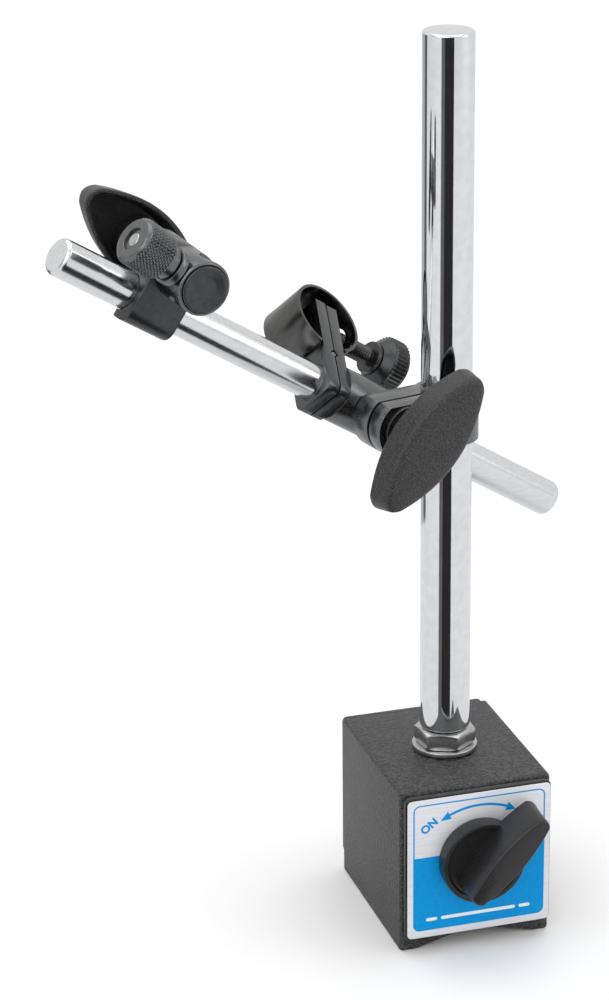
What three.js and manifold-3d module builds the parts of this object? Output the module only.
// Magnetic measuring stand with a fine-adjust swivel arm. Millimetres, +Z up.
import * as THREE from 'three';
import { mergeVertices } from 'three/addons/utils/BufferGeometryUtils.js';
import Module from 'manifold-3d';

const wasm = await Module();
wasm.setup();

// ---- driving dimensions -------------------------------------------------
const GAP = 0.3;                                  // clearance between neighbouring solids
const BASE = { width: 50, depth: 60, height: 55, edge: 1.4 };
const GROOVE = { half: 19.7, rise: 4.9 };         // V under the foot, seen from the front
const SPACER_HALF = 1.35;
const MAGNET = { z: 31.8, radius: 14, bore: 14.3, half: 26.5 };
const SPINDLE = { radius: 5, front: 36.4, rear: 31.4 };
const COVER = { half: 24.2, low: 5.4, high: 54.3, thick: 2.6 };
const LABEL = { half: 23.7, low: 6.0, high: 53.9, thick: 0.5, corner: 1.6 };
const REAR_SCREW = { x: 19, low: 11, high: 49, shank: 1.3, head: 2.7, rise: 1.7 };
const KNOB = { radius: 13.6, thick: 5.3, rim: 1.6, recess: 1.3, back: 33.95, face: 51 };
const HANDLE = { angle: 47, low: -10.5, high: 24, half: 4.8, tip: 2.5, blunt: 1 };
const POST = { radius: 8, top: 289, spigot: 4.9, foot: 48.9 };
const NUT = { flats: 17, low: 57.1, high: 62.5, turn: 6 };
const WASHER = { radius: 10.5, low: 55.3, high: 56.8 };

const TURN = 13.8;                                // clamp turned about the post, degrees
const SLOPE = 32.33;                              // arm's fall from left to right, degrees
const CLAMP_Z = 168.8;                            // height of the clamp's cross bolt
const CLAMP = { half: 7.7, high: 8, bolt: -19.6, ear: 9.6, collar: 10, slit: 1.2, slitY: -1 };
const STUD = { radius: 4, end: 35.2 };
const ARM_Y = 17;                                 // arm axis behind the post axis
const ARM = { radius: 5.8, left: -122.8, right: 82.9 };
const SLEEVE = { outer: 8.75, inner: 6.9, left: -13.55, right: 11, boss: 6.2, seat: 9 };

const WING = { half: 24, width: 10, tip: 3.4, blunt: 1.8, flare: 1.3, rim: 0.8, depth: 7.7, wall: 1.8 };
const WING_HUB = { radius: 6.6, bore: 5.5, back: 6.8 };
const INSERT = { outer: 5.2, length: 9 };
const MAIN_WING = { rim: 16.5, angle: 47.5 };
const END_WING = { rim: 16.8, angle: 14 };

const PLATES = { x: -18.05, lean: 52.7, half: 7.7, low: -7.3, thick: 4.1, joint: 0.25, corner: 3 };
const PLATE_TOP = { tilting: 28.5, fixed: 28.0 };
const PIVOT = { z: 8, groove: 1.65, pin: 0.8 };
const BAND = { x: -0.5, z: 22.2, outer: 12.6, thick: 1, half: 8.0, from: -63.5, to: 248 };
const ADJUST = { z: 24.2, radius: 3, hole: 3.3, tip: 0.2, flange: 24.6, collar: 5.3, end: 34.4 };

const ADJUST_KNOB = { hub: 5.5, rim: 9, cone: 3.4, length: 9.7, hole: 3.3 };

const END = { x: -88.2, roll: 4.9, axis: 12.65, radius: 8.3, front: 8.6, foot: 8.3, bore: 5.95 };
const HOLDER = { front: 23.9, back: 8.9, stem: 18.2, stemRadius: 4.1, turn: 7, cap: 7.2 };
const END_BOLT = { radius: 3, front: 13.7, rear: 18.4 };
const THUMB = { face: 26.4, neck: 14.8, radius: 7.5, flange: 8.8, screw: 2.4, tip: 4.4 };

// Centre of the whole stand's footprint, measured from the base's own centre.
const FRAME = { x: -39.46, y: -3.84 };

// ---- materials ----------------------------------------------------------
const LOOKS = {
  painted_iron: [0x4a4c4e, 0.75, 0.1], brass: [0xb08d4a, 0.4, 1], magnet: [0x6a6a6c, 0.5, 0.8],
  black_plastic: [0x1b1c1d, 0.55, 0], label: [0x2aa4d8, 0.45, 0], chrome: [0xd8dadd, 0.08, 1],
  blackened_steel: [0x505254, 0.4, 0.9], machined_steel: [0xa6a8aa, 0.3, 1],
  spring_steel: [0x8e8c86, 0.3, 1], zinc_plate: [0xc4c6c8, 0.3, 1],
};

function mesh(name, look, body, parent) {
  const [color, roughness, metalness] = LOOKS[look];
  const material = new THREE.MeshStandardMaterial({ color, roughness, metalness });
  material.name = look;
  const item = new THREE.Mesh(geometryOf(body), material);
  item.name = name;
  parent.add(item);
}

// ---- solids -------------------------------------------------------------
// A closed three.js geometry as a manifold body, its triangles facing outward.
function solid(geometry) {
  geometry.deleteAttribute('normal');
  geometry.deleteAttribute('uv');
  const merged = mergeVertices(geometry, 1e-5);
  const p = merged.attributes.position.array;
  const index = [];
  let volume = 0;
  for (let i = 0; i < merged.index.count; i += 3) {
    const [a, b, c] = [0, 1, 2].map((k) => merged.index.getX(i + k));
    if (a === b || b === c || a === c) continue;
    index.push(a, b, c);
    const [u, v, w] = [a, b, c].map((k) => new THREE.Vector3().fromArray(p, 3 * k));
    volume += u.dot(v.cross(w));
  }
  if (volume < 0) index.reverse();
  return new wasm.Manifold(new wasm.Mesh({
    numProp: 3, vertProperties: new Float32Array(p), triVerts: new Uint32Array(index),
  }));
}

function geometryOf(body) {
  const data = body.getMesh();
  const geometry = new THREE.BufferGeometry();
  const position = new THREE.Float32BufferAttribute(data.vertProperties, data.numProp);
  geometry.setAttribute('position', position);
  geometry.setIndex(new THREE.Uint32BufferAttribute(data.triVerts, 1));
  geometry.computeVertexNormals();
  return geometry;
}

// Turns a geometry built along +Y so that it lies along the named axis.
function along(axis, g) {
  if (axis === 'x') return g.rotateZ(-Math.PI / 2);
  return axis === 'z' ? g.rotateX(Math.PI / 2) : g;
}

// Round bar along an axis from one coordinate to another, centred on the other two.
function round(axis, radius, from, to, at = [0, 0, 0], sides = 32) {
  const g = new THREE.CylinderGeometry(radius, radius, to - from, sides);
  return solid(along(axis, g.translate(0, (from + to) / 2, 0)).translate(...at));
}

function block([x0, x1], [y0, y1], [z0, z1]) {
  const g = new THREE.BoxGeometry(x1 - x0, y1 - y0, z1 - z0);
  return solid(g.translate((x0 + x1) / 2, (y0 + y1) / 2, (z0 + z1) / 2));
}

// Body of revolution: profile rows are [radius, distance along the axis].
function turned(axis, profile, at = [0, 0, 0], sides = 32) {
  const g = new THREE.LatheGeometry(profile.map(([r, h]) => new THREE.Vector2(r, h)), sides);
  return solid(along(axis, g).translate(...at));
}

// Outline in X and Z pushed along Y between two coordinates.
function slab(shape, y0, y1, curveSegments = 10) {
  const g = new THREE.ExtrudeGeometry(shape, { depth: y1 - y0, bevelEnabled: false, curveSegments });
  return solid(g.rotateX(Math.PI / 2).translate(0, y1, 0));
}

// Outline in Y and Z pushed along X between two coordinates.
function slice(shape, x0, x1, curveSegments = 10) {
  const g = new THREE.ExtrudeGeometry(shape, { depth: x1 - x0, bevelEnabled: false, curveSegments });
  return solid(g.rotateX(Math.PI / 2).rotateZ(Math.PI / 2).translate(x0, 0, 0));
}

function polygon(points) {
  return new THREE.Shape(points.map(([x, z]) => new THREE.Vector2(x, z)));
}

function roundedRect(x0, x1, z0, z1, r) {
  const s = new THREE.Shape();
  s.moveTo(x0 + r, z0).lineTo(x1 - r, z0).quadraticCurveTo(x1, z0, x1, z0 + r);
  s.lineTo(x1, z1 - r).quadraticCurveTo(x1, z1, x1 - r, z1);
  s.lineTo(x0 + r, z1).quadraticCurveTo(x0, z1, x0, z1 - r);
  return s.lineTo(x0, z0 + r).quadraticCurveTo(x0, z0, x0 + r, z0);
}

const less = (body, ...tools) => tools.reduce((a, b) => a.subtract(b), body);
const plus = (body, ...more) => more.reduce((a, b) => a.add(b), body);

function frame(name, parent, position, [rx, ry, rz]) {
  const g = new THREE.Group();
  g.name = name;
  g.position.set(...position);
  g.rotation.set(...[rx, ry, rz].map(THREE.MathUtils.degToRad));
  parent.add(g);
  return g;
}

// ---- base ---------------------------------------------------------------
const magnetBore = () => round('y', MAGNET.bore, -31, 31, [0, 0, MAGNET.z], 40);
const postHole = () => round('z', POST.spigot + GAP, POST.foot - GAP, 60, [0, 0, 0], 24);

// One pole piece: side = -1 is the left one, +1 the right one.
function pole(side) {
  const inner = SPACER_HALF + GAP;
  const fall = (x) => GROOVE.rise * (1 - x / GROOVE.half);
  const s = new THREE.Shape();
  const w = BASE.width / 2;
  s.moveTo(side * inner, fall(inner)).lineTo(side * GROOVE.half, 0).lineTo(side * (w - 0.6), 0);
  s.lineTo(side * w, 0.6).lineTo(side * w, BASE.height - BASE.edge);
  s.quadraticCurveTo(side * w, BASE.height, side * (w - BASE.edge), BASE.height);
  s.lineTo(side * inner, BASE.height);
  const body = slab(s, -BASE.depth / 2, BASE.depth / 2, 4);
  const holes = [REAR_SCREW.low, REAR_SCREW.high].map((z) =>
    round('y', REAR_SCREW.shank + GAP, 24, 31, [side * REAR_SCREW.x, 0, z], 16));
  return less(body, magnetBore(), postHole(), ...holes);
}

function spacer(z0, z1) {
  const half = BASE.depth / 2;
  return less(block([-SPACER_HALF, SPACER_HALF], [-half, half], [z0, z1]), magnetBore(), postHole());
}

function magnetRotor() {
  const at = [0, 0, MAGNET.z];
  return plus(round('y', MAGNET.radius, -MAGNET.half, MAGNET.half, at, 40),
    round('y', SPINDLE.radius, -SPINDLE.front, SPINDLE.rear, at, 24));
}

function coverPlate(y0, y1) {
  const plate = slab(roundedRect(-COVER.half, COVER.half, COVER.low, COVER.high, 1.8), y0, y1, 3);
  return less(plate, round('y', SPINDLE.radius + GAP, y0 - 1, y1 + 1, [0, 0, MAGNET.z], 24));
}

function rearCover(y0, y1) {
  const holes = [[-1, 'low'], [1, 'low'], [-1, 'high'], [1, 'high']].map(([side, level]) =>
    round('y', REAR_SCREW.shank + GAP, y0 - 1, y1 + 1, [side * REAR_SCREW.x, 0, REAR_SCREW[level]], 16));
  return less(coverPlate(y0, y1), ...holes);
}

function coverScrew(side, level) {
  const face = BASE.depth / 2 + GAP + COVER.thick + GAP;
  const { shank, head, rise } = REAR_SCREW;
  const profile = [[0, 25], [shank, 25], [shank, face], [head, face], [head, face + 0.8],
    [head * 0.6, face + rise], [0, face + rise]];
  return turned('y', profile, [side * REAR_SCREW.x, 0, REAR_SCREW[level]], 16);
}

function labelPlate(y0) {
  const outline = roundedRect(-LABEL.half, LABEL.half, LABEL.low, LABEL.high, LABEL.corner);
  return less(slab(outline, y0 - LABEL.thick, y0, 3),
    round('y', SPINDLE.radius + GAP, y0 - 2, y0 + 2, [0, 0, MAGNET.z], 24));
}

// Leaf-shaped outline from s = low to s = high along its own axis, widest half way.
function bowedOutline(low, high, half, tip, blunt) {
  const mid = (low + high) / 2;
  const reach = 2 * half - tip;
  const s = new THREE.Shape();
  s.moveTo(low + blunt, -tip).quadraticCurveTo(mid, -reach, high - blunt, -tip);
  s.quadraticCurveTo(high + blunt, 0, high - blunt, tip);
  s.quadraticCurveTo(mid, reach, low + blunt, tip);
  return s.quadraticCurveTo(low - blunt, 0, low + blunt, -tip);
}

// Extruded along +Z of its own frame and turned about that axis.
function raised(shape, z0, z1, degrees, curveSegments = 8) {
  const g = new THREE.ExtrudeGeometry(shape, { depth: z1 - z0, bevelEnabled: false, curveSegments });
  return solid(g.rotateZ(THREE.MathUtils.degToRad(degrees)).translate(0, 0, z0));
}

// Front of the base: +Z of this frame points out of the label.
function switchKnob() {
  const top = KNOB.back + KNOB.thick;
  const disc = less(round('z', KNOB.radius, KNOB.back, top, [0, 0, 0], 40),
    round('z', KNOB.radius - KNOB.rim, top - KNOB.recess, top + 1, [0, 0, 0], 40));
  const { low, high, half, tip, blunt, angle } = HANDLE;
  const outline = bowedOutline(low, high, half, tip, blunt);
  const handle = raised(outline, top - KNOB.recess - 0.4, KNOB.face, angle);
  return less(plus(disc, handle), round('z', SPINDLE.radius + GAP, KNOB.back - 1,
    SPINDLE.front + GAP, [0, 0, 0], 24));
}

function buildBase(root) {
  const front = -BASE.depth / 2 - GAP;
  mesh('pole_left', 'painted_iron', pole(-1), root);
  mesh('pole_right', 'painted_iron', pole(1), root);
  mesh('pole_spacer_top', 'brass', spacer(MAGNET.z + 10, BASE.height), root);
  mesh('pole_spacer_foot', 'brass', spacer(GROOVE.rise, MAGNET.z - 10), root);
  mesh('magnet_rotor', 'magnet', magnetRotor(), root);
  mesh('front_cover', 'painted_iron', coverPlate(front - COVER.thick, front), root);
  mesh('label_plate', 'label', labelPlate(front - COVER.thick - GAP), root);
  mesh('rear_cover', 'painted_iron', rearCover(-front, -front + COVER.thick), root);
  for (const [name, side] of [['left', -1], ['right', 1]]) {
    for (const level of ['low', 'high']) {
      mesh(`rear_screw_${level}_${name}`, 'zinc_plate', coverScrew(side, level), root);
    }
  }
  const face = frame('base_front', root, [0, 0, MAGNET.z], [90, 0, 0]);
  mesh('switch_knob', 'black_plastic', switchKnob(), face);
}

// ---- post ---------------------------------------------------------------
function hexNut() {
  const corner = NUT.flats / Math.sqrt(3);
  const g = new THREE.CylinderGeometry(corner, corner, NUT.high - NUT.low, 6);
  g.rotateX(Math.PI / 2).rotateZ(THREE.MathUtils.degToRad(NUT.turn));
  const hex = solid(g.translate(0, 0, (NUT.low + NUT.high) / 2));
  const dome = turned('z', [[0, NUT.low], [corner - 1, NUT.low], [corner + 0.2, NUT.low + 0.7],
    [corner + 0.2, NUT.high - 0.9], [corner - 1.6, NUT.high], [0, NUT.high]], [0, 0, 0], 36);
  return less(hex.intersect(dome), round('z', POST.spigot + GAP, 50, 70, [0, 0, 0], 24));
}

function postBody() {
  const { radius, top, spigot, foot } = POST;
  const shoulder = NUT.high + GAP;
  const profile = [[0, foot], [spigot, foot], [spigot, shoulder], [radius - 0.6, shoulder],
    [radius, shoulder + 0.6], [radius, top - 0.4], [radius - 0.4, top], [0, top]];
  return turned('z', profile, [0, 0, 0], 40);
}

function buildPost(root) {
  const washer = less(round('z', WASHER.radius, WASHER.low, WASHER.high, [0, 0, 0], 40),
    round('z', POST.spigot + GAP, 50, 60, [0, 0, 0], 24));
  mesh('post_washer', 'zinc_plate', washer, root);
  mesh('post_nut', 'zinc_plate', hexNut(), root);
  mesh('post', 'chrome', postBody(), root);
}

// ---- wing knobs ---------------------------------------------------------
// Leaf-shaped solid, wide at its back rim (z = 0) and narrower at its face.
// It is drawn in by inset all round and cut off below z = 0.
function leaf(inset, degrees) {
  const { half, width, tip, blunt, rim, depth, flare } = WING;
  const outline = bowedOutline(inset - half, half - inset, width - inset, tip - inset / 3, blunt);
  const g = new THREE.ExtrudeGeometry(outline, { depth: rim, bevelEnabled: true,
    bevelThickness: depth, bevelSize: flare, bevelSegments: 1, curveSegments: 7 });
  const whole = solid(g.rotateZ(THREE.MathUtils.degToRad(degrees)));
  return whole.intersect(block([-40, 40], [-40, 40], [0, 40]));
}

// Hollow leaf-shaped grip with a hub that carries the threaded insert.
function wingKnob(degrees) {
  const face = WING.rim + WING.depth;
  const inside = leaf(WING.wall, degrees);
  const skirt = inside.intersect(block([-40, 40], [-40, 40], [0, WING.rim]));
  const shell = less(leaf(0, degrees), inside.translate([0, 0, -WING.wall]),
    skirt.translate([0, 0, -WING.rim / 2]), skirt);
  const hub = round('z', WING_HUB.radius, -WING_HUB.back, face - 1, [0, 0, 0], 24);
  const seat = -WING_HUB.back + INSERT.length + GAP;
  return less(plus(shell, hub),
    round('z', WING_HUB.bore, -WING_HUB.back - 1, seat, [0, 0, 0], 24));
}

function insert(radius) {
  const low = -WING_HUB.back + 0.1;
  return less(round('z', INSERT.outer, low, low + INSERT.length, [0, 0, 0], 24),
    round('z', radius, low - 1, low + INSERT.length + 1, [0, 0, 0], 24));
}

// ---- main clamp ---------------------------------------------------------
// Clamp frame: X along the arm's level direction, -Y to the front, Z up, origin on the post.
function postClamp() {
  const { half, high, bolt, ear, collar, slit, slitY } = CLAMP;
  const bar = new THREE.Shape();
  const flat = Math.sqrt(ear * ear - high * high);
  const lift = Math.atan2(high, -flat);
  bar.moveTo(-6, -high).lineTo(-6, high).lineTo(bolt - flat, high);
  bar.absarc(bolt, 0, ear, lift, 2 * Math.PI - lift, false).lineTo(-6, -high);
  const body = plus(slab(bar, -half, half, 14), round('z', collar, -high, high, [0, 0, 0], 40));
  return less(body, round('z', POST.radius + 0.08, -20, 20, [0, 0, 0], 40),
    block([-40, 0], [slitY - slit / 2, slitY + slit / 2], [-20, 20]),
    round('y', STUD.radius + GAP, -20, 20, [bolt, 0, 0], 24));
}

function clampWasher(radius, hole, y0, y1) {
  return less(round('y', radius, y0, y1, [0, 0, 0], 32), round('y', hole, y0 - 1, y1 + 1, [0, 0, 0], 24));
}

// Tube around the arm with the threaded stud that goes through the clamp.
function armSleeve() {
  const { outer, inner, left, right, boss, seat } = SLEEVE;
  const body = plus(round('x', outer, left, right, [0, 0, 0], 40),
    round('y', boss, -seat, -4, [0, 0, 0], 32),
    round('y', STUD.radius, -STUD.end, -6, [0, 0, 0], 24));
  return less(body, round('x', inner, left - 1, right + 1, [0, 0, 0], 40));
}

// ---- fine adjustment ----------------------------------------------------
// Plate frame: X along the arm, Z away from it toward the adjusting screw.
function adjustPlate(x0, x1, top, bore, screwHole) {
  const { half, low, corner } = PLATES;
  const outline = polygon([[half, top], [-half, top], [-half, low + corner]]);
  outline.quadraticCurveTo(-half, low, corner - half, low).lineTo(half - corner, low);
  outline.quadraticCurveTo(half, low, half, low + corner);
  const plate = slice(outline, x0, x1, 4);
  const groove = new THREE.BoxGeometry(PIVOT.groove * Math.SQRT2, 20, PIVOT.groove * Math.SQRT2);
  const cuts = [round('x', bore, x0 - 1, x1 + 1, [0, 0, 0], 40),
    solid(groove.rotateY(Math.PI / 4).translate(0, 0, PIVOT.z))];
  if (screwHole) cuts.push(round('x', ADJUST.hole, x0 - 1, x1 + 1, [0, 0, ADJUST.z], 24));
  return less(plate, ...cuts);
}

function springBand() {
  const { x, z, outer, thick, half, from, to } = BAND;
  const [a, b] = [from, to].map(THREE.MathUtils.degToRad);
  const s = new THREE.Shape();
  s.absarc(x, z, outer, a, b, false).absarc(x, z, outer - thick, b, a, true);
  return less(slab(s, -half, half, 30), round('x', ADJUST.radius + 1, 2, 20, [0, 0, ADJUST.z], 20));
}

function adjustScrew() {
  const { radius, tip, flange, collar, end } = ADJUST;
  const profile = [[0, tip], [radius - 0.6, tip], [radius, tip + 0.8], [radius, flange],
    [collar, flange], [collar, flange + 1.5], [radius, flange + 1.5], [radius, end], [0, end]];
  return turned('x', profile, [0, 0, ADJUST.z], 24);
}

function adjustKnob() {
  const low = ADJUST.flange + 1.5 + GAP;
  const { hub, rim, cone, length, hole } = ADJUST_KNOB;
  const profile = [[hole, low], [hub, low], [rim - 1, low + cone], [rim, low + cone + 0.4],
    [rim, low + length - 0.6], [rim - 0.7, low + length], [hole, low + length], [hole, low]];
  return turned('x', profile, [0, 0, ADJUST.z], 40);
}

function buildFineAdjust(arm) {
  const g = frame('fine_adjust', arm, [PLATES.x, 0, 0], [-PLATES.lean, 0, 0]);
  const { joint, thick } = PLATES;
  const tilting = adjustPlate(-joint - thick, -joint, PLATE_TOP.tilting, ARM.radius + 0.08, false);
  mesh('plate_tilting', 'machined_steel', tilting, g);
  const fixed = adjustPlate(joint, joint + thick, PLATE_TOP.fixed, ARM.radius + 0.5, true);
  mesh('plate_fixed', 'machined_steel', fixed, g);
  mesh('pivot_pin', 'machined_steel', round('y', PIVOT.pin, -7.4, 7.4, [0, 0, PIVOT.z], 16), g);
  mesh('spring_band', 'spring_steel', springBand(), g);
  mesh('adjust_screw', 'zinc_plate', adjustScrew(), g);
  mesh('adjust_knob', 'blackened_steel', adjustKnob(), g);
}

// ---- end clamp ----------------------------------------------------------
// End frame: X along the arm, -Y to the front, Z up from the arm to the barrel axis.
function tombstone() {
  const { axis, radius, foot } = END;
  const s = new THREE.Shape();
  s.moveTo(-radius, -foot).lineTo(radius, -foot).lineTo(radius, axis);
  return s.absarc(0, axis, radius, 0, Math.PI, false).lineTo(-radius, -foot);
}

function hookJaw() {
  const { front, foot, axis, bore } = END;
  const side = new THREE.Shape();
  side.moveTo(-GAP, 30).lineTo(-front, 30).lineTo(-front, 5 - foot);
  side.quadraticCurveTo(-front, -foot, 5.5 - front, -foot).lineTo(-GAP, -foot);
  const body = slab(tombstone(), -front, -GAP, 14).intersect(slice(side, -12, 12, 8));
  return less(body, round('x', bore, -20, 20, [0, 0, 0], 40),
    round('y', END_BOLT.radius + GAP, -20, 5, [0, 0, axis], 24));
}

function rearJaw() {
  const body = round('y', END.radius, GAP, 8, [0, 0, END.axis], 36);
  return less(body, round('x', END.bore, -20, 20, [0, 0, 0], 40),
    round('y', END_BOLT.radius + GAP, -5, 20, [0, 0, END.axis], 24));
}

// Holder frame: origin on the barrel axis, turned about it.
function stemHolder() {
  const { front, back, stem, stemRadius, cap } = HOLDER;
  const r = END.radius;
  const profile = [[0, -front], [r - 0.5, -front], [r, 0.5 - front], [r, -back], [0, -back]];
  return less(turned('y', profile, [0, 0, 0], 40),
    round('y', cap + GAP, -front - 1, -front + 1.2, [0, 0, 0], 40),
    round('z', stemRadius, -20, 20, [0, -stem, 0], 32),
    round('x', THUMB.screw + GAP, -20, 0, [0, -stem, 0], 20),
    round('y', END_BOLT.radius + 0.08, -END_BOLT.front - GAP, 0, [0, 0, 0], 24));
}

function holderCap() {
  const { front, cap } = HOLDER;
  const profile = [[0, -front - 0.9], [cap * 0.7, -front - 0.8], [cap, -front - 0.3],
    [cap, -front + 0.9], [0, -front + 0.9]];
  return turned('y', profile, [0, 0, 0], 36);
}

function thumbFlange() {
  const { flange, screw } = THUMB;
  const at = [0, -HOLDER.stem, 0];
  return less(round('x', 6, -flange - 2.5, -flange, at, 32),
    round('x', screw + GAP, -flange - 3, -flange + 1, at, 20));
}

function thumbKnob() {
  const { face, neck, radius, flange, screw } = THUMB;
  const low = flange + 2.5 + GAP;
  const profile = [[screw + GAP, -low], [5.2, -low], [5.2, -neck], [radius, -neck - 0.3],
    [radius, 0.9 - face], [radius - 0.9, -face], [3.4, -face], [3.4, 1.1 - face],
    [screw + GAP, 1.1 - face], [screw + GAP, -low]];
  return turned('x', profile, [0, -HOLDER.stem, 0], 40);
}

function thumbScrew() {
  const { face, screw, tip } = THUMB;
  return round('x', screw, 0.5 - face, -tip, [0, -HOLDER.stem, 0], 20);
}

function buildEndClamp(arm) {
  const g = frame('end_clamp', arm, [END.x, 0, 0], [END.roll, 0, 0]);
  mesh('hook_jaw', 'blackened_steel', hookJaw(), g);
  mesh('rear_jaw', 'machined_steel', rearJaw(), g);
  const h = frame('holder', g, [0, 0, END.axis], [0, HOLDER.turn, 0]);
  mesh('stem_holder', 'machined_steel', stemHolder(), h);
  mesh('holder_cap', 'blackened_steel', holderCap(), h);
  mesh('end_bolt', 'zinc_plate', round('y', END_BOLT.radius, -END_BOLT.front, END_BOLT.rear,
    [0, 0, 0], 24), h);
  mesh('thumb_flange', 'machined_steel', thumbFlange(), h);
  mesh('thumb_knob', 'machined_steel', thumbKnob(), h);
  mesh('thumb_screw', 'zinc_plate', thumbScrew(), h);
  const w = frame('end_wing', g, [0, 0, END.axis], [0, 0, 0]);
  mesh('end_washer', 'zinc_plate', clampWasher(7.4, END_BOLT.radius + GAP, 8.2, 9.4), w);
  const k = frame('end_wing_frame', w, [0, END_WING.rim, 0], [-90, 0, 0]);
  mesh('wing_knob_end', 'black_plastic', wingKnob(END_WING.angle), k);
  mesh('wing_insert_end', 'brass', insert(END_BOLT.radius + 0.08), k);
}

function buildArm(root) {
  const clamp = frame('clamp_frame', root, [0, 0, CLAMP_Z], [0, 0, TURN]);
  mesh('post_clamp', 'machined_steel', postClamp(), clamp);
  const bolt = frame('bolt_frame', clamp, [CLAMP.bolt, 0, 0], [0, 0, 0]);
  mesh('clamp_washer', 'blackened_steel', clampWasher(7.8, STUD.radius + GAP, -9.4, -8), bolt);
  const k = frame('main_wing_frame', bolt, [0, -MAIN_WING.rim, 0], [90, 0, 0]);
  mesh('wing_knob_main', 'black_plastic', wingKnob(MAIN_WING.angle), k);
  mesh('wing_insert_main', 'brass', insert(STUD.radius + 0.08), k);
  const arm = frame('arm_frame', bolt, [0, ARM_Y, 0], [0, SLOPE, 0]);
  mesh('arm_sleeve', 'machined_steel', armSleeve(), arm);
  const { radius, left, right } = ARM;
  const ends = [[0, left], [radius - 1, left], [radius, left + 0.8], [radius, right - 0.8],
    [radius - 1, right], [0, right]];
  mesh('arm_rod', 'chrome', turned('x', ends, [0, 0, 0], 40), arm);
  buildFineAdjust(arm);
  buildEndClamp(arm);
}

// ---- assembly -----------------------------------------------------------
const stand = new THREE.Group();
stand.name = 'magnetic_stand';
const centred = frame('centred', stand, [-FRAME.x, -FRAME.y, 0], [0, 0, 0]);
buildBase(centred);
buildPost(centred);
buildArm(centred);
stand.updateMatrixWorld(true);

export default stand;
